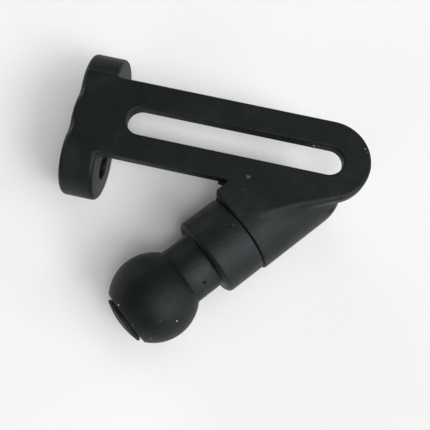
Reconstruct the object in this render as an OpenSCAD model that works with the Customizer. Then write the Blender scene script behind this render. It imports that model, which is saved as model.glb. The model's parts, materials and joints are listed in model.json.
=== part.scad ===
// Slotted arm bracket with a turning ball stud.
// Frame: origin on the foot's mounting face, midway between the two bolt holes and level with them.
// +X runs along the arm from the foot to the round end, +Z is square to the arm's flat top face.
// The bolt holes are spaced along Y. The swivel axis lies at z = 0 and slants from the round end
// towards -X and -Y.

/* [Arm] */
// Distance from the foot's mounting face to the centre of the arm's round end
arm_reach = 74; // [66:1:90]
// Width of the arm
arm_w = 23.5; // [21:0.5:26]
// Thickness of the arm plate
arm_t = 3.8; // [3:0.2:5]
// Height of the arm's top face above the line of the bolt holes
top_z = 12.8; // [12.7:0.1:13.4]
// Width of the long slot
slot_w = 8.8; // [6.4:0.2:9]
// Distance from the foot's mounting face to the centre of the slot's first end
slot_start = 20; // [18:1:40]

/* [Foot] */
// Thickness of the foot along the arm
foot_t = 10; // [8:0.5:12]
// Radius of each rounded ear
ear_r = 11.3; // [10.5:0.1:12]
// Distance of each ear's centre from the middle of the foot
ear_y = 11; // [10:0.5:12]
// Height of the ears' centres above the line of the bolt holes
ear_z = 1.2; // [0.5:0.1:1.5]
// Radius of the middle lobe, whose top is flush with the arm
lobe_r = 10.6; // [10:0.1:12]
// Distance between the two bolt holes
bolt_spacing = 24; // [22:1:26]
// Diameter of the bolt holes
bolt_hole_d = 7; // [5.5:0.1:8]
// Radius on the foot's edges
edge_r = 1.2; // [0.6:0.2:1.6]

/* [Swivel housing] */
// Angle between the arm and the swivel axis
swivel_angle = 50.5; // [48:0.5:54]
// Distance along the swivel axis from the arm's round end to the housing's mouth
swivel_reach = 30.7; // [30:0.1:33]
// Sideways offset of the swivel axis from the centre of the round end
axis_offset = 1.3; // [0.8:0.1:1.6]
// Outside diameter of the housing
housing_d = 25.2; // [25:0.1:25.4]
// Length of the housing's straight part behind its mouth
housing_len = 22.7; // [21:0.1:23]
// Depth of the web between the flat top and the housing
web_t = 6.4; // [5:0.2:6.4]
// Half width of the flat top at the housing's mouth, on the arm's side
corner_n = 11; // [10.8:0.1:11.2]
// Distance from the arm's centre line to the flat that keeps the housing clear of the slot
clear_y = 5.2; // [5:0.1:5.8]
// Depth of the socket that holds the bush
socket_depth = 10.5; // [9:0.1:10.7]

/* [Ball stud] */
// Diameter of the ball
ball_d = 25.4; // [25:0.1:26]
// Distance from the housing's mouth to the ball's centre
ball_reach = 30.3; // [30:0.1:33]
// Diameter of the neck
neck_d = 17.4; // [17:0.1:19]
// Diameter of the collar
collar_d = 23.9; // [23.6:0.1:24.6]
// Length of the collar
collar_len = 12.4; // [11:0.1:13]
// Radius on the collar's edge towards the ball
collar_edge = 1.6; // [0.8:0.1:2.2]
// Width of the parting gap between the housing and the collar
seam_gap = 0.3; // [0.2:0.05:0.4]
// Diameter of the journal that turns in the bush
journal_d = 14.6; // [14:0.1:15]
// Distance from the ball's centre to the flat cut on its end
ball_flat = 9.6; // [9.2:0.1:9.8]

/* [End cap] */
// Diameter of the cap's visible disc
cap_d = 14.9; // [14.6:0.1:16]
// Thickness of the cap's visible disc
cap_t = 1.4; // [1.2:0.1:1.6]
// Width of the groove between the ball and the cap
cap_groove = 0.5; // [0.3:0.1:0.7]

/* [Hardware] */
// Nominal diameter of the swivel screw
screw_d = 5; // [4:0.5:5]
// Length of the swivel screw under its head
screw_len = 45; // [44:0.5:45]
// Thickness of one disc spring
spring_t = 0.8; // [0.6:0.1:0.8]
// Cone height left in one disc spring when it is loaded
spring_h = 0.2; // [0.1:0.05:0.2]
// Number of disc springs
springs = 4; // [2:1:4]

/* [Hidden] */
$fn = 96;
ring_fn = 32;   // facets round the section of a rubber ring

run = 0.05;     // running clearance, radial
gap = 0.02;     // axial gap between stacked pieces
over = 1;       // how far a cut runs past the face it opens
far = 50;       // reach of large cutting bodies

// Swivel axis in plan: its direction from housing to ball, the sideways direction away
// from the foot, and the centre of the housing's mouth
axis_dir = [-cos(swivel_angle), -sin(swivel_angle)];
side_dir = [sin(swivel_angle), -cos(swivel_angle)];
arm_end = [arm_reach, 0];
mouth = arm_end - axis_offset * side_dir + swivel_reach * axis_dir;

// Flat top in plan: the mouth's corner nearest the foot, and the point where a line
// from the mouth's centre touches the round end
end_r = arm_w / 2;
plate_start = 2;       // where the arm plate begins, inside the foot
plate_overlap = 0.6;   // how far the flat top's side runs into the arm
mouth_corner = mouth - corner_n * side_dir;
to_end = arm_end - mouth;
touch_angle = atan2(to_end.y, to_end.x) - asin(end_r / norm(to_end));
touch_len = sqrt(norm(to_end) * norm(to_end) - end_r * end_r);
touch = mouth + touch_len * [cos(touch_angle), sin(touch_angle)];
web_y = clear_y + 0.4; // distance from the arm's centre line to the web

// Radii round the swivel axis
housing_r = housing_d / 2;
journal_hole_r = journal_d / 2 + run;
bush_wall = 1.25;
bush_r = journal_hole_r + bush_wall;
recess_r = 10.2;       // recess in the housing's mouth for the washer and seal
fric_r = 9;            // hole radius for the friction washer, which is smaller by run
seal_r = 0.58;         // section radius of the seal ring
seal_mid = (fric_r + recess_r) / 2;
screw_r = screw_d / 2;
screw_hole_r = screw_r + 0.15;
head_washer_r = 6.5;
insert_r = 3.5;
sleeve_r = 3.5;
stack_hole_r = sleeve_r + 0.1; // hole of the pieces stacked round the sleeve
bore_r = sleeve_r + run;       // bore through the stud
well_r = 7.2;          // well in the ball for the spring stack and the cap's plug
plug_r = well_r - run;

// Places along the swivel axis, from the housing's mouth towards the ball
recess_d = 0.8;
insert_len = 6.6;
sleeve_z = -socket_depth + gap;
neck_z = 5;            // start of the neck, inside the collar
well_z = 22;           // floor of the well
thrust_t = 1;
thrust_z = well_z + gap;
spring_z = thrust_z + thrust_t + gap;
spring_pitch = spring_t + spring_h + gap;
washer_z = spring_z + springs * spring_pitch;
washer_t = 1.2;
lock_z = washer_z + washer_t + gap;
lock_t = 1.2;
head_z = lock_z + lock_t + gap;
flat_z = ball_reach + ball_flat;
cap_z = flat_z + cap_groove;
plug_z = cap_z - 4.6;  // inner end of the cap's plug
cap_seal_z = cap_z - 2.2;
cap_seal_r = 0.42;     // section radius of the cap's seal

module up(z) translate([0, 0, z]) children();

// Turns children's Z to point along +X, from the given place
module along_x(place) translate(place) rotate([0, 90, 0]) children();

// Frame on the swivel axis: local +Z points to the ball, z is measured from the housing's mouth
module on_swivel(z = 0)
    translate([mouth.x, mouth.y, 0])
        rotate([0, 0, 180 + swivel_angle])
            rotate([0, 90, 0])
                up(z) children();

// Disc from z = 0 to z = t, its rims rounded by the radii low (at z = 0) and high (at z = t)
module disc(r, t, low = 0, high = 0) rotate_extrude() difference() {
    square([r, t]);
    if (low > 0) translate([r - low, 0]) difference() {
        translate([0, -over]) square([low + over, low + over]);
        translate([0, low]) circle(r = low, $fn = 48);
    }
    if (high > 0) translate([r - high, t - high]) difference() {
        square([high + over, high + over]);
        circle(r = high, $fn = 48);
    }
}

// Flat ring from z = 0 to z = t
module ring(r_in, r_out, t)
    rotate_extrude() translate([r_in, 0]) square([r_out - r_in, t]);

// Ring of round section, centred on z = 0
module round_ring(r_mid, r_section)
    rotate_extrude() translate([r_mid, 0]) circle(r = r_section, $fn = ring_fn);

// Long hole through the arm: two round ends and a straight middle
module slot_hole() up(top_z - arm_t - over) linear_extrude(arm_t + 2 * over) union() {
    for (x = [slot_start, arm_reach]) translate([x, 0]) circle(d = slot_w);
    translate([slot_start, -slot_w / 2]) square([arm_reach - slot_start, slot_w]);
}

// Point reached from the mouth's corner, going back along the axis to the given y and then extra
function corner_back(y, extra = 0) =
    mouth_corner - ((mouth_corner.y - y) / axis_dir.y + extra) * axis_dir;

// Flat plate of the arm, and its extension over the housing
module arm_plate() up(top_z - arm_t) linear_extrude(arm_t) union() {
    translate([plate_start, -end_r]) square([arm_reach - plate_start, arm_w]);
    translate(arm_end) circle(r = end_r);
    polygon([mouth, mouth_corner, corner_back(-end_r, plate_overlap), arm_end, touch]);
}

// Deep web between the flat top and the round housing, kept clear of the slot
// and set in a little from the touching point
module web() up(top_z - web_t) linear_extrude(web_t) polygon([
    mouth,
    mouth_corner,
    corner_back(-web_y),
    [touch.x - 1.2, -web_y],
    touch - 0.5 * side_dir
]);

// Round housing with a domed rear end, trimmed flat beside the slot, on top and on the arm's side
module housing() intersection() {
    on_swivel(-housing_len) union() {
        cylinder(r = housing_r, h = housing_len);
        sphere(r = housing_r);
    }
    translate([0, -2 * far - clear_y, -far]) cube([4 * far, 2 * far, far + top_z]);
    on_swivel() translate([-far, -corner_n, -2 * far]) cube([2 * far, 2 * far, 4 * far]);
}

// T-shaped foot: two ears and a middle lobe
module foot() {
    for (side = [-1, 1])
        along_x([0, side * ear_y, ear_z]) disc(ear_r, foot_t, edge_r, edge_r);
    along_x([0, 0, top_z - lobe_r]) disc(lobe_r, foot_t, edge_r, edge_r);
}

// Recess, bush socket and insert hole, and a clear space beyond the mouth
module housing_cuts() {
    insert_room = 0.4; // space below the insert
    on_swivel() {
        up(-recess_d) cylinder(r = recess_r, h = recess_d + 5);
        up(-socket_depth) cylinder(r = bush_r, h = socket_depth + over);
        up(-socket_depth - insert_len - insert_room) cylinder(r = insert_r, h = insert_len + over);
        cylinder(r = housing_r + 6, h = 12);
    }
}

module bracket_body() color([0.13, 0.14, 0.15]) difference() {
    union() {
        arm_plate();
        housing();
        web();
        foot();
    }
    slot_hole();
    for (side = [-1, 1])
        along_x([-over, side * bolt_spacing / 2, 0])
            cylinder(d = bolt_hole_d, h = foot_t + 2 * over);
    housing_cuts();
}

// Brass insert moulded into the bottom of the socket; its thread is drawn as a plain bore
module thread_insert() {
    bore = screw_r + 0.02;
    groove_depth = 0.35;
    groove_w = 1;
    color([0.78, 0.62, 0.28]) on_swivel(-socket_depth - insert_len) rotate_extrude() difference() {
        translate([bore, 0]) square([insert_r - bore, insert_len]);
        for (z = [1.6, 4]) translate([insert_r - groove_depth, z]) square([1, groove_w]);
    }
}

// Plain bush pressed into the socket
module journal_bush() color([0.9, 0.89, 0.84]) on_swivel(-socket_depth + gap)
    ring(journal_hole_r, bush_r, socket_depth - recess_d - 2 * gap);

// Flat washer that carries the collar's thrust
module friction_washer() color([0.86, 0.84, 0.76]) on_swivel(-recess_d)
    ring(journal_hole_r, fric_r - run, recess_d + seam_gap - gap);

// Round-section rubber ring that closes the parting gap
module seal_ring() color([0.06, 0.06, 0.06]) on_swivel(-recess_d + seal_r)
    round_ring(seal_mid, seal_r);

// Steel tube that lets the screw be tightened solid
module spacer_sleeve() color([0.62, 0.63, 0.65]) on_swivel(sleeve_z)
    ring(screw_hole_r, sleeve_r, washer_z - gap - sleeve_z);

// Flat washer under the lock washer
module head_washer() color([0.66, 0.67, 0.69]) on_swivel(washer_z)
    ring(screw_hole_r, head_washer_r, washer_t);

// Split lock washer
module lock_washer() {
    split_w = 0.6;
    color([0.6, 0.61, 0.63]) on_swivel(lock_z) difference() {
        ring(screw_r + 0.1, screw_r + 1.9, lock_t);
        translate([0, -split_w / 2, -over]) cube([10, split_w, lock_t + 2 * over]);
    }
}

// Socket head screw along the swivel axis
module swivel_screw() {
    head_r = screw_d * 0.85;
    head_h = screw_d;
    key_d = 4.62; // across the corners of the hexagon socket
    key_depth = 2.6;
    color([0.3, 0.31, 0.33]) on_swivel(head_z) difference() {
        union() {
            disc(head_r, head_h, high = 0.5);
            up(-screw_len) cylinder(d = screw_d, h = screw_len + 0.5);
        }
        up(head_h - key_depth) cylinder(d = key_d, h = 4, $fn = 6);
    }
}

// Ball, neck, collar and journal in one piece
module ball_stud() {
    journal_clear = 0.5; // from the socket's floor to the journal's end
    groove_depth = 0.5;  // ring groove in the collar's face, opposite the seal ring
    color([0.12, 0.13, 0.14]) on_swivel() difference() {
        union() {
            up(-socket_depth + journal_clear) cylinder(d = journal_d, h = socket_depth + 1);
            up(seam_gap) disc(collar_d / 2, collar_len, 0.2, collar_edge);
            up(neck_z) cylinder(d = neck_d, h = ball_reach - neck_z);
            intersection() {
                up(ball_reach) sphere(d = ball_d);
                up(-far) cylinder(r = 30, h = far + flat_z);
            }
        }
        up(-30) cylinder(r = bore_r, h = 80);
        up(well_z) cylinder(r = well_r, h = 40);
        up(seam_gap - over) ring(fric_r - 0.1, recess_r, over + groove_depth);
    }
}

// Flat washer on the floor of the well
module thrust_washer() color([0.7, 0.71, 0.73]) on_swivel(thrust_z)
    ring(stack_hole_r, well_r - 0.1, thrust_t);

// Cone-shaped spring: its hole's edge starts at in_z and its rim at out_z
module disc_spring(in_z, out_z) {
    rim_r = well_r - 0.2;
    rotate_extrude() polygon([
        [stack_hole_r, in_z],
        [rim_r, out_z],
        [rim_r, out_z + spring_t],
        [stack_hole_r, in_z + spring_t]
    ]);
}

// Disc springs stacked in opposite pairs; they press the collar against the friction washer
module disc_springs() color([0.55, 0.5, 0.42]) on_swivel()
    for (i = [0 : springs - 1]) {
        in_z = i % 2 == 0 ? spring_h : 0;
        up(spring_z + i * spring_pitch) disc_spring(in_z, spring_h - in_z);
    }

// Rubber ring in the groove round the cap's plug
module cap_seal() color([0.07, 0.07, 0.07]) on_swivel(cap_seal_z)
    round_ring(plug_r - cap_seal_r, cap_seal_r);

// Snap-in cap that hides the screw: a disc on a hollow plug
module end_cap() {
    plug_len = cap_z - plug_z;
    plug_wall = 2;
    groove_depth = 0.86;
    groove_w = 1;
    color([0.14, 0.15, 0.15]) on_swivel() difference() {
        union() {
            up(cap_z) disc(cap_d / 2, cap_t, 0.3, 0.8);
            up(plug_z) disc(plug_r, plug_len + 0.5, low = 0.4);
        }
        up(plug_z - over) cylinder(r = plug_r - plug_wall, h = plug_len + over);
        up(cap_seal_z - groove_w / 2) ring(plug_r - groove_depth, plug_r + over, groove_w);
    }
}

bracket_body();
thread_insert();
journal_bush();
friction_washer();
seal_ring();
spacer_sleeve();
head_washer();
lock_washer();
swivel_screw();
ball_stud();
thrust_washer();
disc_springs();
cap_seal();
end_cap();
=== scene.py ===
"""Slotted swivel bracket: moulded bracket, ball stud and end cap, as fine meshes on the CAD frame.

The foot stands at x = 0 and the slotted arm runs from it along +X, flat side up (+Z). The round
housing lies on the arm's -Y side, and the stud points out of its mouth along the level swivel
axis, at z = 0. Shapes are worked out in mm, in two frames: x, y, z, and along (out of the mouth on
the swivel axis), side (across it, level) and z. The scene is in metres.
"""

import itertools
import json
import math

import bpy
import numpy as np
from mathutils import Matrix, Vector


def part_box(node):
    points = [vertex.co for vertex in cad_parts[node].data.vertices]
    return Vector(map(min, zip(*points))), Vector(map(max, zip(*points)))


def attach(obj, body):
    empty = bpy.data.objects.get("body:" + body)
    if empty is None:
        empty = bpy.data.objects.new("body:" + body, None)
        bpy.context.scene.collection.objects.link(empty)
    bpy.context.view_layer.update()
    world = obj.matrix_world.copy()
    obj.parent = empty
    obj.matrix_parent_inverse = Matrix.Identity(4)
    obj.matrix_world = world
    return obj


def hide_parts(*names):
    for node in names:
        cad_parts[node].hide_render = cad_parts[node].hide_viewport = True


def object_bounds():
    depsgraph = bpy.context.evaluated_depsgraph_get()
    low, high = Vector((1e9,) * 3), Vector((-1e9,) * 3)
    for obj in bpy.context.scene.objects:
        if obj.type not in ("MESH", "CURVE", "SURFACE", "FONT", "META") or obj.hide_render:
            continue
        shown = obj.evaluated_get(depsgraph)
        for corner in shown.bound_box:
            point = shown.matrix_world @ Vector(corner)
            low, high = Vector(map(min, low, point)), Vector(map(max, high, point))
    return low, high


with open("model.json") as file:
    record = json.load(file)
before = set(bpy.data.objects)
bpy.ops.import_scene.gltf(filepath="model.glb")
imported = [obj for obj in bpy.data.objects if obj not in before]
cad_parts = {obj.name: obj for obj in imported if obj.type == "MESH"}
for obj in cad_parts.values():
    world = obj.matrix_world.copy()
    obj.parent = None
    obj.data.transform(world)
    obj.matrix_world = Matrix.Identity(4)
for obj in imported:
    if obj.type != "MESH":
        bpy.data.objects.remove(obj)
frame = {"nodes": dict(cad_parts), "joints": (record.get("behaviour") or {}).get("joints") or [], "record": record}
CAD_BOX = [[float(c) for c in corner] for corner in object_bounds()]
MM = 0.001

# ---------------------------------------------------------------- dimensions, mm
# The frame's joint and mounts drive these.
JOINT = next(j for j in frame["joints"] if j["name"] == "stud_swivel")
MOUNTS = {m["name"]: m for m in frame["record"]["mounts"]}
MOUTH = np.array(JOINT["pos_m"][:2]) * 1000.0  # centre of the housing's mouth, x and y
AXIS = np.array(JOINT["axis"][:2], float)
AXIS /= np.linalg.norm(AXIS)
SIDE = np.array([-AXIS[1], AXIS[0]])  # leans to +X, away from the foot
TOP = MOUNTS["arm_top"]["pos_m"][2] * 1000.0
UNDER = 2 * MOUNTS["arm_slot"]["pos_m"][2] * 1000.0 - TOP
BALL_AT = float(np.dot(np.array(MOUNTS["ball"]["pos_m"][:2]) * 1000.0 - MOUTH, AXIS))

# Arm and slot
ARM_X, ARM_R = 74.0, 11.75  # centre of the round end; its radius is half the arm's width
ARM_SHIFT_Y, ARM_SWELL = 0.08, 0.12  # the outline is moulded a little off centre and fuller
ARM_START_X = 1.6
SLOT_R, SLOT_START_X = 4.4, 20.0
SLOT_SHIFT_Y, SLOT_SHRINK = -0.1, 0.22
# Foot: two ears and a top lobe, with a hole in each ear
FOOT_T, EAR_R, EAR_Y, EAR_Z, LOBE_R = 10.0, 11.3, 11.0, 1.2, 10.6
HOLE_Y, HOLE_R = 12.0, 3.5
# Housing
HOUSING_R, HOUSING_L = 12.6, 22.7  # the length leaves out the domed rear end
CLEAR_Y = 5.2  # housing and deep web stay this far on the -Y side of the arm's centre line
CORNER_SIDE = 11.0  # the web's corner at the mouth, from the swivel axis
RECESS_R, RECESS_D = 10.2, 0.8
BUSH_R, SOCKET_D = 8.6, 10.5
INSERT_R, INSERT_L, INSERT_PLAY = 3.5, 6.6, 0.4
# Stud
GAP, COLLAR_R, COLLAR_L, COLLAR_ROUND = 0.3, 11.95, 12.4, 1.6
NECK_R, NECK_FILLET, BALL_R, BALL_FLAT = 8.7, 0.9, 12.7, 9.6  # flat: from the ball's centre
JOURNAL_R, BORE_R, WELL_R, WELL_FLOOR = 7.3, 3.55, 7.2, 22.0
# Cap
CAP_LIFT = 0.5  # plug's outer end above the ball's flat
PLUG_R, PLUG_L, PLUG_WALL = WELL_R - 0.05, 4.6, 2.0
PLUG_NECK, GROOVE_D, GROOVE_HALF, GROOVE_AT = 0.95, 0.86, 0.5, 2.2
RIM_R, RIM_LIFT, RIM_L, DOME_H = 7.0, 0.35, 0.75, 1.15
RIM_WALL, RIM_FOOT = 0.55, 0.05


def touch_point():
    """Where the line from the mouth's centre touches the arm's round end, (along, side)."""
    offset = np.array([ARM_X, 0.0]) - MOUTH
    centre = np.array([np.dot(offset, AXIS), np.dot(offset, SIDE)])
    distance = np.linalg.norm(centre)
    angle = math.atan2(centre[1], centre[0]) - math.asin(ARM_R / distance)
    length = math.sqrt(distance * distance - ARM_R * ARM_R)
    return np.array([length * math.cos(angle), length * math.sin(angle)])


TOUCH = touch_point()
TANGENT = TOUCH / np.linalg.norm(TOUCH)
TOUCH_XY = MOUTH + TOUCH[0] * AXIS + TOUCH[1] * SIDE
CORNER_XY = MOUTH - CORNER_SIDE * SIDE

# Plan outlines in x, y. Both run past the mouth and are trimmed there.
PAST_MOUTH = 9.0
BACK_TO_ARM = (CORNER_XY[1] + ARM_R - 0.6) / AXIS[1]  # from the corner to just inside the arm
WEB_PLAN = [
    MOUTH + PAST_MOUTH * AXIS, CORNER_XY + PAST_MOUTH * AXIS, CORNER_XY - BACK_TO_ARM * AXIS,
    [ARM_X, 0.0], TOUCH_XY]
DEEP_PLAN = [
    MOUTH + PAST_MOUTH * AXIS - 2.0 * SIDE, CORNER_XY + PAST_MOUTH * AXIS,
    CORNER_XY - 13.2 * AXIS, [TOUCH_XY[0] - 3.2, -CLEAR_Y - 0.4],
    TOUCH_XY - 3.5 * SIDE, MOUTH - 2.0 * SIDE]

# The flat top's outer edge: (distance back from the mouth, edge radius) up to the touch point
EDGE_BY_DEPTH = np.array([
    (0.0, 3.6), (4.0, 4.2), (9.0, 3.8), (13.0, 2.7), (17.5, 1.9), (23.5, 1.5)]).T
# then (degrees round the arm's end, edge radius)
EDGE_BY_ANGLE = np.array([(-64.0, 1.4), (-45.0, 1.2), (-30.0, 0.9), (-15.0, 0.6), (0.0, 0.45)]).T
# Housing into plate: (distance back from the mouth, width of the blend)
BLEND_BY_DEPTH = np.array([(0.0, 0.6), (5.0, 1.9), (12.0, 2.4), (19.0, 1.5), (25.0, 0.5)]).T

WEB_MOUTH_ROUND = 0.9
PLATE_ROUND = 0.4  # edges of the plate and deep web, and of the arm's plain parts
SHAPED_EDGE_X = 40.0  # the outer edge is shaped beyond this x
DEEP_BOTTOM_Z = 5.6
UNDER_FILLET = 2.4
FILLET_LAP = 0.3  # the fillet reaches this far into the parts it joins


# ---------------------------------------------------------------- distance fields, negative inside
def blend(a, b, width):
    """Union of two fields with a soft blend."""
    h = np.maximum(width - np.abs(a - b), 0.0) / width
    return np.minimum(a, b) - h * h * width * 0.25


def round_cut(a, b, radius):
    """Intersection of two fields with a true round."""
    a, b = a + radius, b + radius
    outside = np.hypot(np.maximum(a, 0.0), np.maximum(b, 0.0))
    return np.minimum(np.maximum(a, b), 0.0) + outside - radius


def polygon_field(x, y, corners):
    """Signed distance to a closed polygon."""
    corners = np.asarray(corners, float)
    distance = np.full(x.shape, 1e9)
    inside = np.zeros(x.shape, bool)
    for a, b in zip(corners, np.roll(corners, -1, axis=0)):
        ex, ey = b - a
        wx, wy = x - a[0], y - a[1]
        t = np.clip((wx * ex + wy * ey) / (ex * ex + ey * ey), 0.0, 1.0)
        distance = np.minimum(distance, np.hypot(wx - ex * t, wy - ey * t))
        spans = (a[1] > y) != (b[1] > y)
        inside ^= spans & (x < ex * (y - a[1]) / (ey + 1e-12) + a[0])
    return np.where(inside, -distance, distance)


def slot_outline(x, y):
    reach = x - np.clip(x, SLOT_START_X, ARM_X)
    return np.hypot(reach, y - SLOT_SHIFT_Y) - SLOT_R + SLOT_SHRINK


def plate_field(x, y, z, along, side):
    """Flat plate: the slotted arm, and the web that runs out over the housing to its mouth."""
    y_arm = y - ARM_SHIFT_Y
    arm = np.where(x < ARM_X, np.abs(y_arm), np.hypot(x - ARM_X, y_arm)) - ARM_R - ARM_SWELL
    started = np.maximum(arm, ARM_START_X - x)
    web = round_cut(polygon_field(x, y, WEB_PLAN), along, WEB_MOUTH_ROUND)
    plan = np.where(side < -2.0, blend(started, web, 1.2), np.minimum(started, web))
    plan = np.maximum(plan, -slot_outline(x, y))
    middle, thickness = 0.5 * (TOP + UNDER), TOP - UNDER
    plate = round_cut(plan, np.abs(z - middle) - 0.5 * thickness, PLATE_ROUND)
    # outer edge: straight from the mouth to the touch point, then round the arm's end
    past = (along - TOUCH[0]) * TANGENT[0] + (side - TOUCH[1]) * TANGENT[1] > 0
    edge = np.where(past, arm, along * TANGENT[1] - side * TANGENT[0])
    degrees = np.degrees(np.arctan2(y, x - ARM_X))
    end_radius = np.where(x > ARM_X, np.interp(degrees, *EDGE_BY_ANGLE), PLATE_ROUND)
    radius = np.where(past, end_radius, np.interp(-along, *EDGE_BY_DEPTH))
    shaped = round_cut(edge, z - TOP, radius)
    return np.maximum(plate, np.where(x > SHAPED_EDGE_X, shaped, z - TOP))


def deep_web_field(x, y, z, along):
    """Deep web under the plate, on the foot's side of the housing."""
    plan = round_cut(polygon_field(x, y, DEEP_PLAN), along, WEB_MOUTH_ROUND)
    return round_cut(plan, np.maximum(z - TOP, DEEP_BOTTOM_Z - z), PLATE_ROUND)


def under_fillet_field(y, z, side):
    """Hollow fillet between the deep web's side and the arm's underside."""
    out, down = -CORNER_SIDE - side, UNDER - z
    r = UNDER_FILLET
    return np.maximum.reduce([
        r - np.hypot(r - out, r - down), -out - FILLET_LAP, -down - FILLET_LAP,
        out - r, down - r, -ARM_R - 0.9 - y, y + CLEAR_Y - 0.6])


def housing_field(y, along, side, radial):
    """Round housing with a domed rear end, cut flat at the web's corner and beside the slot."""
    dome = np.sqrt((along + HOUSING_L) ** 2 + radial * radial) - HOUSING_R
    housing = np.where(along < -HOUSING_L, dome, radial - HOUSING_R)
    housing = round_cut(housing, -side - CORNER_SIDE, 0.8)
    return round_cut(housing, y + CLEAR_Y, 1.0)


def foot_field(x, y, z):
    """The foot's three round discs, blended together."""
    thick = np.abs(x - 0.5 * FOOT_T) - 0.5 * FOOT_T
    ears_and_lobe = ((EAR_Y, EAR_Z, EAR_R), (-EAR_Y, EAR_Z, EAR_R), (0.0, TOP - LOBE_R, LOBE_R))
    discs = [round_cut(np.hypot(y - yc, z - zc) - r, thick, 1.1) for yc, zc, r in ears_and_lobe]
    return blend(blend(discs[0], discs[1], 0.9), discs[2], 0.9)


def bracket_field(points):
    """Field of the moulded bracket at points (N, 3)."""
    x, y, z = points[:, 0], points[:, 1], points[:, 2]
    along = (x - MOUTH[0]) * AXIS[0] + (y - MOUTH[1]) * AXIS[1]
    side = (x - MOUTH[0]) * SIDE[0] + (y - MOUTH[1]) * SIDE[1]
    radial = np.hypot(side, z)

    barrel = blend(housing_field(y, along, side, radial), deep_web_field(x, y, z, along), 0.5)
    width = np.where(side > -1.0, np.interp(-along, *BLEND_BY_DEPTH), 0.4)
    d = blend(barrel, plate_field(x, y, z, along, side), width)
    d = np.minimum(d, under_fillet_field(y, z, side))
    d = np.maximum(d, z - TOP)
    # nothing stands proud of the mouth near the swivel axis
    mouth = np.minimum(along, 15.5 - radial)
    d = np.where(along > -6.0, round_cut(d, mouth, 0.12), d)

    d = blend(d, foot_field(x, y, z), 1.8)
    for sign in (-1, 1):
        hole = HOLE_R - np.hypot(y - sign * HOLE_Y, z)
        d = np.where(x < FOOT_T + 3, round_cut(d, hole, 0.4), d)
    # back to the true planes that the blends swelled
    d = round_cut(d, z - TOP, 0.2)
    d = np.maximum(d, -x)
    d = np.maximum(d, -slot_outline(x, y))
    # bores in the housing, (radius, depth from the mouth)
    for radius, depth in ((RECESS_R, RECESS_D), (BUSH_R, SOCKET_D),
                          (INSERT_R, SOCKET_D + INSERT_L + INSERT_PLAY)):
        d = np.maximum(d, -np.maximum(radial - radius, -depth - along))
    return d


# ---------------------------------------------------------------- meshing a field
CORNERS = list(itertools.product((0, 1), repeat=3))  # of one grid cell


def gradient(field, points, reach=0.02):
    slope = np.empty_like(points)
    for i in range(3):
        offset = np.zeros(3)
        offset[i] = reach
        slope[:, i] = (field(points + offset) - field(points - offset)) / (2 * reach)
    return slope


def in_chunks(function, points, size=200000):
    """Runs the function over the points in parts, to spare memory."""
    return np.concatenate([function(points[i:i + size]) for i in range(0, len(points), size)])


def surface_net(field, low, high, step):
    """Dual mesh of field = 0 on a grid: vertices (N, 3) and quads (M, 4), wound outwards."""
    count = np.ceil((high - low) / step).astype(int) + 1
    grid = [low[i] + step * np.arange(count[i]) for i in range(3)]
    yy, zz = np.meshgrid(grid[1], grid[2], indexing="ij")
    values = np.empty(count)
    for i in range(count[0]):
        points = np.stack([np.full(yy.size, grid[0][i]), yy.ravel(), zz.ravel()], 1)
        values[i] = field(points).reshape(yy.shape)
    inside = values < 0

    # cells that the surface passes through, one vertex each
    filled = np.zeros(count - 1, np.int16)
    for corner in CORNERS:
        filled += inside[tuple(slice(c, c + n - 1) for c, n in zip(corner, count))]
    active = (filled > 0) & (filled < 8)
    index = np.full(active.shape, -1, np.int64)
    index[active] = np.arange(active.sum())
    cell = np.argwhere(active)

    # each vertex is the mean of the crossings on its cell's edges
    total = np.zeros((len(cell), 3))
    hits = np.zeros(len(cell))
    for start, axis in itertools.product(CORNERS, range(3)):
        if start[axis]:
            continue
        end = list(start)
        end[axis] = 1
        a = values[tuple((cell + start).T)]
        b = values[tuple((cell + end).T)]
        crossed = (a < 0) != (b < 0)
        t = np.where(crossed, a / np.where(crossed, a - b, 1.0), 0.0)
        point = np.array(start, float) + np.outer(t, np.eye(3)[axis])
        total[crossed] += point[crossed]
        hits[crossed] += 1
    verts = low + (cell + total / hits[:, None]) * step

    # a quad round each grid edge that crosses the surface
    quads = []
    for axis in range(3):
        o1, o2 = (axis + 1) % 3, (axis + 2) % 3
        e = np.argwhere(np.diff(inside, axis=axis))
        keep = (e[:, o1] > 0) & (e[:, o2] > 0) & (e[:, o1] < count[o1] - 1)
        e = e[keep & (e[:, o2] < count[o2] - 1)]
        step1, step2 = np.eye(3, dtype=int)[[o1, o2]]
        around = [e - step1 - step2, e - step2, e, e - step1]
        quad = np.stack([index[tuple(c.T)] for c in around], 1)
        flip = ~inside[tuple(e.T)]
        quad[flip] = quad[flip][:, ::-1]
        quads.append(quad)
    return verts, np.concatenate(quads)


def project(field, verts, rounds=5, limit=0.25):
    """Moves vertices onto the field's zero surface, by at most the limit in each round."""
    verts = verts.copy()
    for _ in range(rounds):
        value = in_chunks(field, verts)
        slope = in_chunks(lambda part: gradient(field, part), verts)
        steepness = np.maximum((slope * slope).sum(1), 0.05)
        move = -(value / steepness)[:, None] * slope
        length = np.linalg.norm(move, axis=1)
        verts += move * np.minimum(1.0, limit / np.maximum(length, 1e-9))[:, None]
    return verts


def finish_object(name, mesh):
    """Validates the mesh, shades it smooth and puts it in the scene."""
    mesh.validate()
    mesh.polygons.foreach_set("use_smooth", np.full(len(mesh.polygons), True))
    mesh.update()
    obj = bpy.data.objects.new(name, mesh)
    bpy.context.scene.collection.objects.link(obj)
    return obj


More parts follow.
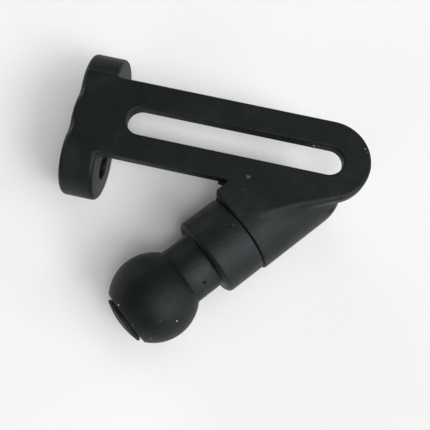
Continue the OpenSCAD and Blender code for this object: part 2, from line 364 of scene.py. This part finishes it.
def quad_object(name, verts, quads):
    mesh = bpy.data.meshes.new(name)
    mesh.from_pydata([], [], [])  # starts from its default layers; the arrays are filled in bulk
    mesh.vertices.add(len(verts))
    mesh.vertices.foreach_set("co", (verts * MM).astype(np.float32).ravel())
    mesh.loops.add(quads.size)
    mesh.loops.foreach_set("vertex_index", quads.astype(np.int32).ravel())
    mesh.polygons.add(len(quads))
    mesh.polygons.foreach_set("loop_start", np.arange(0, quads.size, 4, dtype=np.int32))
    mesh.update(calc_edges=True)
    return finish_object(name, mesh)


def build_bracket():
    step = 0.36
    margin = 1.3
    low, high = (np.array(corner) * 1000.0 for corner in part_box("bracket_body"))
    verts, quads = surface_net(bracket_field, low - margin, high + margin, step)
    return quad_object("bracket_moulding", project(bracket_field, verts), quads)


# ---------------------------------------------------------------- turned pieces
# Profiles are lists of (along, radius) points, turned about the swivel axis.
PROFILE_STEP = 0.35
CORNER_STEP = 0.12


def arc(along, radius, r, start, end, step):
    """Points on an arc round (along, radius), angles in degrees from +along towards +radius."""
    count = max(4, int(abs(math.radians(end - start)) * r / step))
    angles = [math.radians(start + (end - start) * i / count) for i in range(count + 1)]
    return [(along + r * math.cos(a), radius + r * math.sin(a)) for a in angles]


def corner_arc(before, corner, after, r):
    """Replaces a profile's corner by an arc of radius r, or less where the sides are short."""
    before, corner, after = map(np.array, (before, corner, after))
    len_a, len_b = np.linalg.norm(before - corner), np.linalg.norm(after - corner)
    a, b = (before - corner) / len_a, (after - corner) / len_b
    half = math.acos(max(-1.0, min(1.0, float(a @ b)))) / 2
    if half > math.pi / 2 - 0.02 or half < 0.02:
        return [tuple(corner)]
    d = min(r / math.tan(half), 0.49 * len_a, 0.49 * len_b)
    r = d * math.tan(half)
    centre = corner + (a + b) / np.linalg.norm(a + b) * (r / math.sin(half))
    start, end = corner + a * d - centre, corner + b * d - centre
    a0, a1 = math.atan2(start[1], start[0]), math.atan2(end[1], end[0])
    sweep = (a1 - a0 + math.pi) % (2 * math.pi) - math.pi
    count = max(3, int(abs(sweep) * r / CORNER_STEP))
    angles = [a0 + sweep * i / count for i in range(count + 1)]
    return [(centre[0] + r * math.cos(t), centre[1] + r * math.sin(t)) for t in angles]


def rounded(rows):
    """Profile from rows of (along, radius, corner radius)."""
    out = []
    for i, (*corner, r) in enumerate(rows):
        if r > 0:
            out += corner_arc(rows[i - 1][:2], corner, rows[(i + 1) % len(rows)][:2], r)
        else:
            out.append(tuple(corner))
    return out


def refine(profile, closed):
    """Drops repeated points and splits long sides."""
    clean = []
    for point in profile:
        if not clean or math.dist(point, clean[-1]) > 1e-4:
            clean.append(point)
    fine = []
    for start, end in zip(clean, clean[1:] + clean[:1] if closed else clean[1:]):
        start, end = np.array(start), np.array(end)
        count = max(1, int(np.linalg.norm(end - start) / PROFILE_STEP))
        fine += [start + (end - start) * j / count for j in range(count)]
    if not closed:
        fine.append(np.array(clean[-1]))
    return np.array(fine)


def spin(points, segments, closed):
    """Vertices and quads of the points turned about the axis."""
    angle = np.arange(segments) * 2 * math.pi / segments
    side = points[:, 1][None] * np.cos(angle)[:, None]
    z = points[:, 1][None] * np.sin(angle)[:, None]
    along = np.repeat(points[:, 0][None], segments, 0)
    xy = MOUTH + along[..., None] * AXIS + side[..., None] * SIDE
    verts = np.concatenate([xy, z[..., None]], 2).reshape(-1, 3)
    k = len(points)
    i, j = np.meshgrid(np.arange(segments), np.arange(k if closed else k - 1), indexing="ij")
    i2, j2 = (i + 1) % segments, (j + 1) % k
    corners = [i * k + j, i * k + j2, i2 * k + j2, i2 * k + j]
    return verts, np.stack(corners, -1).reshape(-1, 4)


def signed_volume(verts, faces):
    """Six times the volume the faces enclose: negative if they look inwards."""
    f = np.asarray(faces)
    return sum(float(np.sum(verts[f[:, 0]] * np.cross(verts[f[:, k]], verts[f[:, k + 1]])))
               for k in range(1, f.shape[1] - 1))


def turned_ring(name, profile, segments):
    """Turns a closed profile that stays clear of the axis."""
    verts, quads = spin(refine(profile, closed=True), segments, closed=True)
    if signed_volume(verts, quads) < 0:
        quads = quads[:, ::-1]
    return quad_object(name, verts, quads)


def turned_solid(name, profile, segments):
    """Turns an open profile that starts and ends on the axis, with one vertex at each pole."""
    points = refine(profile, closed=False)
    verts, quads = spin(points[1:-1], segments, closed=False)
    poles = [np.append(MOUTH + points[i][0] * AXIS, 0.0) for i in (0, -1)]
    verts = np.vstack([verts, *poles])
    k = len(points) - 2
    pairs = [(a * k, (a + 1) % segments * k) for a in range(segments)]
    tris = [(len(verts) - 2, a, b) for a, b in pairs]
    tris += [(len(verts) - 1, b + k - 1, a + k - 1) for a, b in pairs]
    faces = quads.tolist() + tris
    if signed_volume(verts, quads) + signed_volume(verts, tris) < 0:
        faces = [face[::-1] for face in faces]
    mesh = bpy.data.meshes.new(name)
    mesh.from_pydata((verts * MM).tolist(), [], faces)
    return finish_object(name, mesh)


FLAT_AT = BALL_AT + BALL_FLAT


def stud_profile():
    """Journal, collar, neck and ball, then the well in the ball's flat and the bore."""
    tail_end, collar_end = -SOCKET_D + 0.5, GAP + COLLAR_L
    # centre of the hollow fillet between neck and ball, which touches both
    fillet_r = NECK_R + NECK_FILLET
    fillet_at = BALL_AT - math.sqrt((BALL_R + NECK_FILLET) ** 2 - fillet_r**2)
    meet = math.degrees(math.atan2(fillet_r, fillet_at - BALL_AT))
    flat_angle = math.degrees(math.acos(BALL_FLAT / BALL_R))
    flat_r = math.sqrt(BALL_R**2 - BALL_FLAT**2)
    shank = rounded([
        (tail_end, BORE_R, 0.15), (tail_end, JOURNAL_R, 0.4), (GAP, JOURNAL_R, 0.0),
        (GAP, 8.9, 0.0), (GAP + 0.5, 8.9, 0.1), (GAP + 0.5, RECESS_R, 0.1), (GAP, RECESS_R, 0.0),
        (GAP - 0.12, RECESS_R + 0.2, 0.0), (GAP - 0.12, COLLAR_R, 0.12),
        (collar_end, COLLAR_R, COLLAR_ROUND), (collar_end, NECK_R, 0.45),
        (fillet_at - 0.4, NECK_R, 0.0)])
    hollow = arc(fillet_at, fillet_r, NECK_FILLET, start=270, end=180 + meet, step=0.15)
    ball = arc(BALL_AT, 0.0, BALL_R, start=meet, end=flat_angle + 1.2, step=0.3)
    rim = [(FLAT_AT - 0.06, flat_r - 0.02), (FLAT_AT, flat_r - 0.2)]
    well = rounded([
        (FLAT_AT, WELL_R + 0.25, 0.0), (FLAT_AT - 0.25, WELL_R, 0.0),
        (WELL_FLOOR, WELL_R, 0.3), (WELL_FLOOR, BORE_R, 0.0)])
    return shank + hollow + ball + rim + well


def cap_profile():
    """Low dome and rim, then the grooved plug that fills the stud's well."""
    cap_at = FLAT_AT + CAP_LIFT
    plug_end, groove = cap_at - PLUG_L, cap_at - GROOVE_AT
    rim = FLAT_AT + RIM_LIFT
    wall = rim + RIM_L
    neck_r, groove_r = PLUG_R - PLUG_NECK, PLUG_R - GROOVE_D
    hollow_r = PLUG_R - PLUG_WALL
    dome_r = (RIM_R**2 + DOME_H**2) / (2 * DOME_H)
    # the dome stops two fourteenths short of the rim, where the wall's round takes over
    radii = [RIM_R * i / 14 for i in range(13)]
    dome = [(wall + DOME_H - dome_r + math.sqrt(dome_r**2 - r**2), r) for r in radii]
    return dome + rounded([
        (*dome[-1], 0.0), (wall + 0.12, RIM_R, 0.6),
        (rim, RIM_R, 0.15), (rim, RIM_R - RIM_WALL, 0.1),
        (FLAT_AT + RIM_FOOT, RIM_R - RIM_WALL, 0.05), (FLAT_AT + RIM_FOOT, neck_r, 0.05),
        (FLAT_AT - 0.5, neck_r, 0.1), (FLAT_AT - 0.5, PLUG_R, 0.05),
        (groove + GROOVE_HALF, PLUG_R, 0.05), (groove + GROOVE_HALF, groove_r, 0.05),
        (groove - GROOVE_HALF, groove_r, 0.05), (groove - GROOVE_HALF, PLUG_R, 0.05),
        (plug_end, PLUG_R, 0.4), (plug_end, hollow_r, 0.2),
        (cap_at, hollow_r, 0.3), (cap_at, 0.0, 0.0)])


bracket = build_bracket()
stud = turned_ring("stud_moulding", stud_profile(), 288)
cap = turned_solid("ball_cap", cap_profile(), 256)


# ---------------------------------------------------------------- materials
def scaled(colour, factor):
    return tuple(c * factor for c in colour)


class Shader:
    """A material with one Principled surface, and short ways to add nodes to it."""

    def __init__(self, name):
        self.material = bpy.data.materials.new(name)
        self.material.use_nodes = True
        self.tree = self.material.node_tree
        self.tree.nodes.clear()
        output = self.node("ShaderNodeOutputMaterial")
        surface = self.node("ShaderNodeBsdfPrincipled")
        self.tree.links.new(surface.outputs[0], output.inputs[0])
        self.inputs = surface.inputs

    def node(self, kind, **props):
        node = self.tree.nodes.new(kind)
        for key, value in props.items():
            setattr(node, key, value)
        return node

    def feed(self, socket, value):
        """Links an output to the socket, or sets the socket's own value."""
        if isinstance(value, bpy.types.NodeSocket):
            self.tree.links.new(value, socket)
        else:
            socket.default_value = value

    def surface(self, **values):
        """Feeds the Principled inputs, named with underscores for spaces."""
        for key, value in values.items():
            self.feed(self.inputs[key.replace("_", " ")], value)

    def use_object_coords(self):
        self.coords = self.node("ShaderNodeTexCoord").outputs["Object"]

    def noise(self, scale, detail, roughness, distortion=0.0):
        node = self.node("ShaderNodeTexNoise")
        node.inputs["Scale"].default_value = scale
        node.inputs["Detail"].default_value = detail
        node.inputs["Roughness"].default_value = roughness
        node.inputs["Distortion"].default_value = distortion
        self.feed(node.inputs["Vector"], self.coords)
        return node.outputs["Fac"]

    def ramp(self, value, span, to=(0.0, 1.0), mode="LINEAR"):
        """Maps the span of values to another."""
        node = self.node("ShaderNodeMapRange", interpolation_type=mode)
        for side, numbers in (("From", span), ("To", to)):
            node.inputs[side + " Min"].default_value = numbers[0]
            node.inputs[side + " Max"].default_value = numbers[1]
        self.feed(node.inputs["Value"], value)
        return node.outputs["Result"]

    def math(self, operation, a, b, clamp=False):
        node = self.node("ShaderNodeMath", operation=operation, use_clamp=clamp)
        self.feed(node.inputs[0], a)
        self.feed(node.inputs[1], b)
        return node.outputs[0]

    def times(self, a, b):
        return self.math("MULTIPLY", a, b)

    def dim(self, value, zone, share):
        """Takes this share off the value inside the zone."""
        return self.times(value, self.math("SUBTRACT", 1.0, self.times(zone, share)))

    def mix(self, factor, a, b):
        node = self.node("ShaderNodeMix", data_type="RGBA")
        self.feed(node.inputs["Factor"], factor)
        for name, colour in (("A", a), ("B", b)):
            socket = next(s for s in node.inputs if s.name == name and s.type == "RGBA")
            self.feed(socket, (*colour, 1.0) if isinstance(colour, tuple) else colour)
        return next(s for s in node.outputs if s.type == "RGBA")

    def bump(self, height, strength, depth_mm, normal=None, invert=False):
        node = self.node("ShaderNodeBump", invert=invert)
        node.inputs["Strength"].default_value = strength
        node.inputs["Distance"].default_value = depth_mm * MM
        self.feed(node.inputs["Height"], height)
        if normal is not None:
            self.feed(node.inputs["Normal"], normal)
        return node.outputs["Normal"]

    def spot(self, centre, radius):
        """1 near the centre, 0 beyond the radius; both in mm."""
        node = self.node("ShaderNodeVectorMath", operation="DISTANCE")
        self.feed(node.inputs[0], self.coords)
        node.inputs[1].default_value = [c * MM for c in centre]
        span = (radius * MM * 0.55, radius * MM)
        return self.ramp(node.outputs["Value"], span, to=(1.0, 0.0), mode="SMOOTHSTEP")


def dust_specks(sh):
    """Few and small: one in some of the cells of a Voronoi pattern."""
    cells = sh.node("ShaderNodeTexVoronoi", feature="F1")
    cells.inputs["Scale"].default_value = 260.0
    cells.inputs["Randomness"].default_value = 1.0
    sh.feed(cells.inputs["Vector"], sh.coords)
    speck = sh.ramp(cells.outputs["Distance"], span=(0.025, 0.05), to=(1.0, 0.0))
    pick = sh.node("ShaderNodeSeparateColor")
    sh.feed(pick.inputs[0], cells.outputs["Color"])
    return sh.times(speck, sh.ramp(pick.outputs[0], span=(0.93, 0.96), to=(0.0, 0.25)))


def black_plastic(name, base, light, rough, grain, gloss, dust=(), marks=(), dull=None, pits_and_painted_shade=()):
    """Satin black moulding: fine spark texture, uneven sheen, worn edges, a few specks of dust.

    dust, marks and the gloss-lost spots are rows of (centre, radius, amount); dull is a dict for one duller zone.
    The gloss-lost spots sit in dents on the stud, and are painted shade on the bracket.
    """
    sh = Shader(name)
    geometry = sh.node("ShaderNodeNewGeometry")
    sh.use_object_coords()
    broad = sh.noise(scale=60.0, detail=3.0, roughness=0.55)
    mid = sh.noise(scale=420.0, detail=4.0, roughness=0.6)
    fine = sh.noise(scale=3800.0, detail=3.0, roughness=0.6)
    cloud = sh.noise(scale=130.0, detail=5.0, roughness=0.62, distortion=0.6)

    # colour: mottled, lighter on worn convex edges, under a faint film of dust
    colour = sh.mix(sh.ramp(broad, span=(0.35, 0.7)), base, scaled(base, 1.22))
    colour = sh.mix(sh.ramp(mid, span=(0.45, 0.75), to=(0.0, 0.35)), colour, light)
    edge = sh.ramp(geometry.outputs["Pointiness"], span=(0.515, 0.60), mode="SMOOTHSTEP")
    patchy = sh.noise(scale=700.0, detail=3.0, roughness=0.6)
    edge = sh.times(edge, sh.ramp(patchy, span=(0.35, 0.7), to=(0.15, 1.0)))
    colour = sh.mix(sh.times(edge, 0.5), colour, scaled(light, 2.4))
    film = sh.ramp(cloud, span=(0.5, 0.8), to=(0.0, 0.06))
    colour = sh.mix(film, colour, (0.09, 0.095, 0.095))
    if dull:
        zone = sh.spot(dull["centre"], dull["radius"])
        colour = sh.mix(sh.times(zone, 0.7), colour, scaled(base, 0.45))
    speck = dust_specks(sh)
    colour = sh.mix(speck, colour, (0.30, 0.31, 0.31))
    for centre, radius, strength in dust:
        colour = sh.mix(sh.times(sh.spot(centre, radius), strength), colour, (0.75, 0.76, 0.76))

    # sheen: specks are rougher, worn edges smoother
    uneven = sh.ramp(broad, span=(0.3, 0.7), to=(rough - 0.035, rough + 0.035))
    roughness = sh.math("ADD", uneven, sh.ramp(mid, span=(0.3, 0.7), to=(-0.03, 0.03)))
    roughness = sh.math("ADD", roughness, sh.times(speck, 0.3))
    roughness = sh.math("SUBTRACT", roughness, sh.times(edge, 0.07), clamp=True)
    level = sh.ramp(cloud, span=(0.3, 0.7), to=(gloss * 0.9, gloss * 1.1))
    if dull:
        zone = sh.spot(dull["centre"], dull["radius"])
        roughness = sh.math("ADD", roughness, sh.times(zone, dull["more_rough"]), clamp=True)
        level = sh.dim(level, zone, dull["less_gloss"])
    # spots of lost gloss: in the stud's dents, and painted shade on the bracket's dome end
    for centre, radius, share in pits_and_painted_shade:
        level = sh.dim(level, sh.spot(centre, radius), share)

    # relief: spark texture, slow waviness, then the single marks
    spark = sh.noise(scale=1150.0, detail=4.0, roughness=0.65)
    height = sh.math("ADD", sh.times(fine, 0.5), sh.times(spark, 1.2))
    height = sh.math("ADD", height, sh.times(mid, 0.8))
    normal = sh.bump(height, strength=0.8 * grain, depth_mm=0.14)
    normal = sh.bump(broad, strength=0.25, depth_mm=0.35, normal=normal)
    for centre, radius, rise in marks:
        normal = sh.bump(sh.spot(centre, radius), strength=1.0, depth_mm=abs(rise),
                         normal=normal, invert=rise < 0)
    sh.surface(Base_Color=colour, Roughness=roughness, Specular_IOR_Level=level, IOR=1.5,
               Specular_Tint=(0.84, 0.97, 1.0, 1.0), Normal=normal)
    return sh.material


def metal(name, base, rough):
    sh = Shader(name)
    sh.use_object_coords()
    fine = sh.noise(scale=900.0, detail=4.0, roughness=0.6)
    broad = sh.noise(scale=90.0, detail=3.0, roughness=0.5)
    sh.surface(
        Base_Color=sh.mix(sh.ramp(broad, span=(0.35, 0.7)), base, scaled(base, 0.8)),
        Metallic=1.0,
        Roughness=sh.ramp(fine, span=(0.3, 0.7), to=(rough - 0.06, rough + 0.08)),
        Normal=sh.bump(fine, strength=0.15, depth_mm=0.04))
    return sh.material


def plain_plastic(name, base, rough):
    sh = Shader(name)
    sh.use_object_coords()
    fine = sh.noise(scale=2600.0, detail=3.0, roughness=0.6)
    broad = sh.noise(scale=120.0, detail=3.0, roughness=0.5)
    sh.surface(
        Base_Color=sh.mix(sh.ramp(broad, span=(0.35, 0.7)), base, scaled(base, 0.88)),
        Roughness=sh.ramp(broad, span=(0.3, 0.7), to=(rough - 0.05, rough + 0.06)),
        Normal=sh.bump(fine, strength=0.2, depth_mm=0.05))
    return sh.material


# Dust: (centre, radius, strength), in mm
BRACKET_DUST = [
    ((52.65, -9.7, TOP), 0.42, 0.06), ((53.4, -9.75, TOP), 0.42, 0.08),
    ((53.0, -10.2, TOP), 0.40, 0.06), ((53.05, -9.85, TOP), 0.42, 0.05),
    ((52.78, -13.65, TOP), 0.34, 0.03), ((34.7, 3.9, TOP), 0.42, 0.12),
    ((69.3, 4.0, 10.9), 0.42, 0.75), ((70.6, 4.1, 11.2), 0.30, 0.30),
    ((76.4, 3.4, 10.9), 0.34, 0.14), ((77.6, 2.3, 10.4), 0.30, 0.12),
    ((83.4, 5.5, TOP), 0.26, 0.30), ((84.0, 4.6, TOP), 0.2, 0.15)]
STUD_DUST = [
    ((26.37, -51.52, 8.5), 0.30, 0.90), ((42.54, -52.15, 7.53), 0.22, 0.85),
    ((36.56, -58.01, 4.14), 0.28, 0.30), ((38.03, -53.92, 9.36), 0.20, 0.04),
    ((38.40, -53.45, 9.58), 0.20, 0.05), ((38.65, -53.03, 9.77), 0.20, 0.06),
    ((31.26, -55.78, 7.85), 0.26, 0.16), ((31.9, -56.1, 7.2), 0.22, 0.12),
    ((51.9, -23.85, 11.9), 0.2, 0.12)]
# Nicks and bumps: (centre, radius, height), in mm, dents negative
BRACKET_MARKS = [
    ((53.0, -9.9, TOP), 0.8, -0.14), ((52.78, -13.65, TOP), 0.4, -0.06),
    ((34.7, 3.9, TOP), 0.5, 0.08)]
STUD_MARKS = [
    ((51.55, -24.11, 11.93), 0.50, 0.12), ((50.75, -24.6, 11.9), 0.5, -0.14),
    ((47.3, -40.05, 5.9), 0.62, -0.22), ((34.97, -35.45, 6.65), 0.60, -0.20),
    ((41.57, -24.59, 8.81), 0.8, 0.08)]
# Spots that catch less light: (centre, radius, share of gloss lost), in mm. The bracket's spots are painted shade:
# a dark pocket on the dome end under the arm's round end, where shade falls.
BRACKET_PAINTED_SHADE = [
    ((78.0, -11.9, 4.0), 1.6, 0.6), ((78.6, -11.1, 3.4), 1.6, 0.6),
    ((79.15, -10.4, 2.8), 1.7, 0.65)]
STUD_PITS = [
    ((47.3, -40.05, 5.9), 0.62, 0.85), ((47.0, -40.6, 5.3), 0.4, 0.6),
    ((34.97, -35.45, 6.65), 0.6, 0.8), ((50.75, -24.6, 11.9), 0.62, 0.6)]
# The ball's own skin is duller than the turned shank
BALL_DULL = {"centre": np.append(MOUTH + BALL_AT * AXIS, 0.0), "radius": 15.5,
             "more_rough": 0.13, "less_gloss": 0.72}
BLACK = {"base": (0.0036, 0.0044, 0.0046), "light": (0.0062, 0.0074, 0.0076)}

# the bracket's gloss-lost spots are painted shade on the dome end, under the arm's lip
body_black = black_plastic(
    "satin_black_moulding", **BLACK, rough=0.48, grain=1.0, gloss=0.235,
    dust=BRACKET_DUST, marks=BRACKET_MARKS, pits_and_painted_shade=BRACKET_PAINTED_SHADE)
stud_black = black_plastic(
    "satin_black_stud", **BLACK, rough=0.47, grain=0.9, gloss=0.27,
    dust=STUD_DUST, marks=STUD_MARKS, dull=BALL_DULL, pits_and_painted_shade=STUD_PITS)
cap_black = black_plastic(
    "satin_black_cap", base=(0.0055, 0.0062, 0.0064), light=(0.0090, 0.0100, 0.0103),
    rough=0.58, grain=0.8, gloss=0.18)
rubber = plain_plastic("black_rubber", base=(0.008, 0.008, 0.008), rough=0.75)
zinc = metal("zinc_steel", base=(0.60, 0.61, 0.63), rough=0.32)
black_steel = metal("black_oxide_steel", base=(0.08, 0.08, 0.085), rough=0.38)
spring_steel = metal("phosphated_spring_steel", base=(0.30, 0.28, 0.25), rough=0.45)
brass = metal("machined_brass", base=(0.72, 0.52, 0.22), rough=0.28)
acetal = plain_plastic("natural_acetal", base=(0.78, 0.77, 0.72), rough=0.4)

CAD_MATERIALS = {
    "thread_insert": brass, "journal_bush": acetal, "friction_washer": acetal,
    "seal_ring": rubber, "spacer_sleeve": zinc, "head_washer": zinc,
    "lock_washer": spring_steel, "swivel_screw": black_steel, "thrust_washer": zinc,
    "disc_springs": spring_steel, "cap_seal": rubber, "bracket_body": body_black,
    "ball_stud": stud_black, "end_cap": cap_black}
for node_name, material in CAD_MATERIALS.items():
    slots = frame["nodes"][node_name].data.materials
    if slots:
        for i in range(len(slots)):
            slots[i] = material
    else:
        slots.append(material)

for obj, material, body, cad_name, slot_name in (
    (bracket, body_black, "bracket", "bracket_body", "moulded_black"),
    (stud, stud_black, "stud", "ball_stud", "stud_black"),
    (cap, cap_black, "stud", "end_cap", "cap_black"),
):
    obj.data.materials.append(material)
    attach(obj, body)
    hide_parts(cad_name)

# ---------------------------------------------------------------- stage, camera and light
VIEW_TURN = (-0.279621, -0.048751, -0.212388)  # world to camera: radians about fixed x, y, z
VIEW_OFFSET = (-42.4475, 27.7347)  # mm, the turned origin from the line of sight: right, up
VIEW_DISTANCE = 196.09  # mm
VIEW_SHIFT = np.array([1.93, 0.07, 0.0])  # mm, taken off the camera's place
LENS, SENSOR = 54.01255814, 36.0  # mm
FLOOR_HALF, FLOOR_TOP, FLOOR_GAP = 3, -0.0128, 0.0002  # m; top: the highest it may lie

# Suns with wide discs: azimuth from +X towards +Y, elevation, width of the disc (all in degrees)
# and strength. The key is first.
SUNS = (
    (330, 40, 24, 1.30), (298, 66, 16, 0.64), (315, 56, 20, 0.48), (0, 40, 28, 0.60),
    (0, 9, 28, 0.74), (45, 9, 28, 0.62), (315, 9, 28, 0.58), (135, 9, 28, 0.80),
    (180, 9, 28, 0.24), (240, 23, 28, 0.33), (45, 58, 28, 0.28), (90, 58, 28, 0.21),
    (0, 78, 28, 0.12), (330, 23, 28, 0.20), (150, 30, 28, 0.07))


def add_camera():
    turn_x, turn_y, turn_z = (Matrix.Rotation(a, 3, axis) for a, axis in zip(VIEW_TURN, "XYZ"))
    turn = turn_z @ turn_y @ turn_x
    eye = np.array([-VIEW_OFFSET[0], -VIEW_OFFSET[1], VIEW_DISTANCE])
    place = np.array(turn).T @ eye - VIEW_SHIFT
    data = bpy.data.cameras.new("photo_camera")
    data.sensor_width = SENSOR
    data.lens = LENS
    data.clip_start, data.clip_end = 0.01, 20.0
    camera = bpy.data.objects.new("photo_camera", data)
    bpy.context.scene.collection.objects.link(camera)
    camera.matrix_world = Matrix.Translation(Vector(place * MM)) @ turn.transposed().to_4x4()
    bpy.context.scene.camera = camera


def add_floor():
    z = min(CAD_BOX[0][2], FLOOR_TOP) - FLOOR_GAP
    corners = [(x * FLOOR_HALF, y * FLOOR_HALF, z) for x, y in ((-1, -1), (1, -1), (1, 1), (-1, 1))]
    mesh = bpy.data.meshes.new("floor")
    mesh.from_pydata(corners, [], [(0, 1, 2, 3)])
    floor = bpy.data.objects.new("floor", mesh)
    bpy.context.scene.collection.objects.link(floor)
    sh = Shader("pale_floor")
    sh.surface(Base_Color=(0.86, 0.86, 0.86, 1), Roughness=0.9, Specular_IOR_Level=0.1)
    mesh.materials.append(sh.material)


def add_sun(name, azimuth, elevation, width, strength):
    a, e = math.radians(azimuth), math.radians(elevation)
    towards = Vector((math.cos(e) * math.cos(a), math.cos(e) * math.sin(a), math.sin(e)))
    data = bpy.data.lights.new(name, "SUN")
    data.energy = strength
    data.angle = math.radians(width)
    sun = bpy.data.objects.new(name, data)
    bpy.context.scene.collection.objects.link(sun)
    sun.rotation_euler = (-towards).to_track_quat("-Z", "Y").to_euler()


def add_world():
    """Backdrop that is pale to the camera only, and gives no light."""
    world = bpy.data.worlds.new("studio")
    world.use_nodes = True
    tree = world.node_tree
    background = tree.nodes["Background"]
    background.inputs[0].default_value = (0.93, 0.93, 0.93, 1)
    rays = tree.nodes.new("ShaderNodeLightPath")
    tree.links.new(rays.outputs["Is Camera Ray"], background.inputs[1])
    bpy.context.scene.world = world


add_camera()
add_floor()
for i, sun_row in enumerate(SUNS):
    add_sun("soft_%02d" % i, *sun_row)
add_world()
view = bpy.context.scene.view_settings
view.view_transform = "Standard"
view.look = "None"
view.exposure = 0.0
view.gamma = 1.0
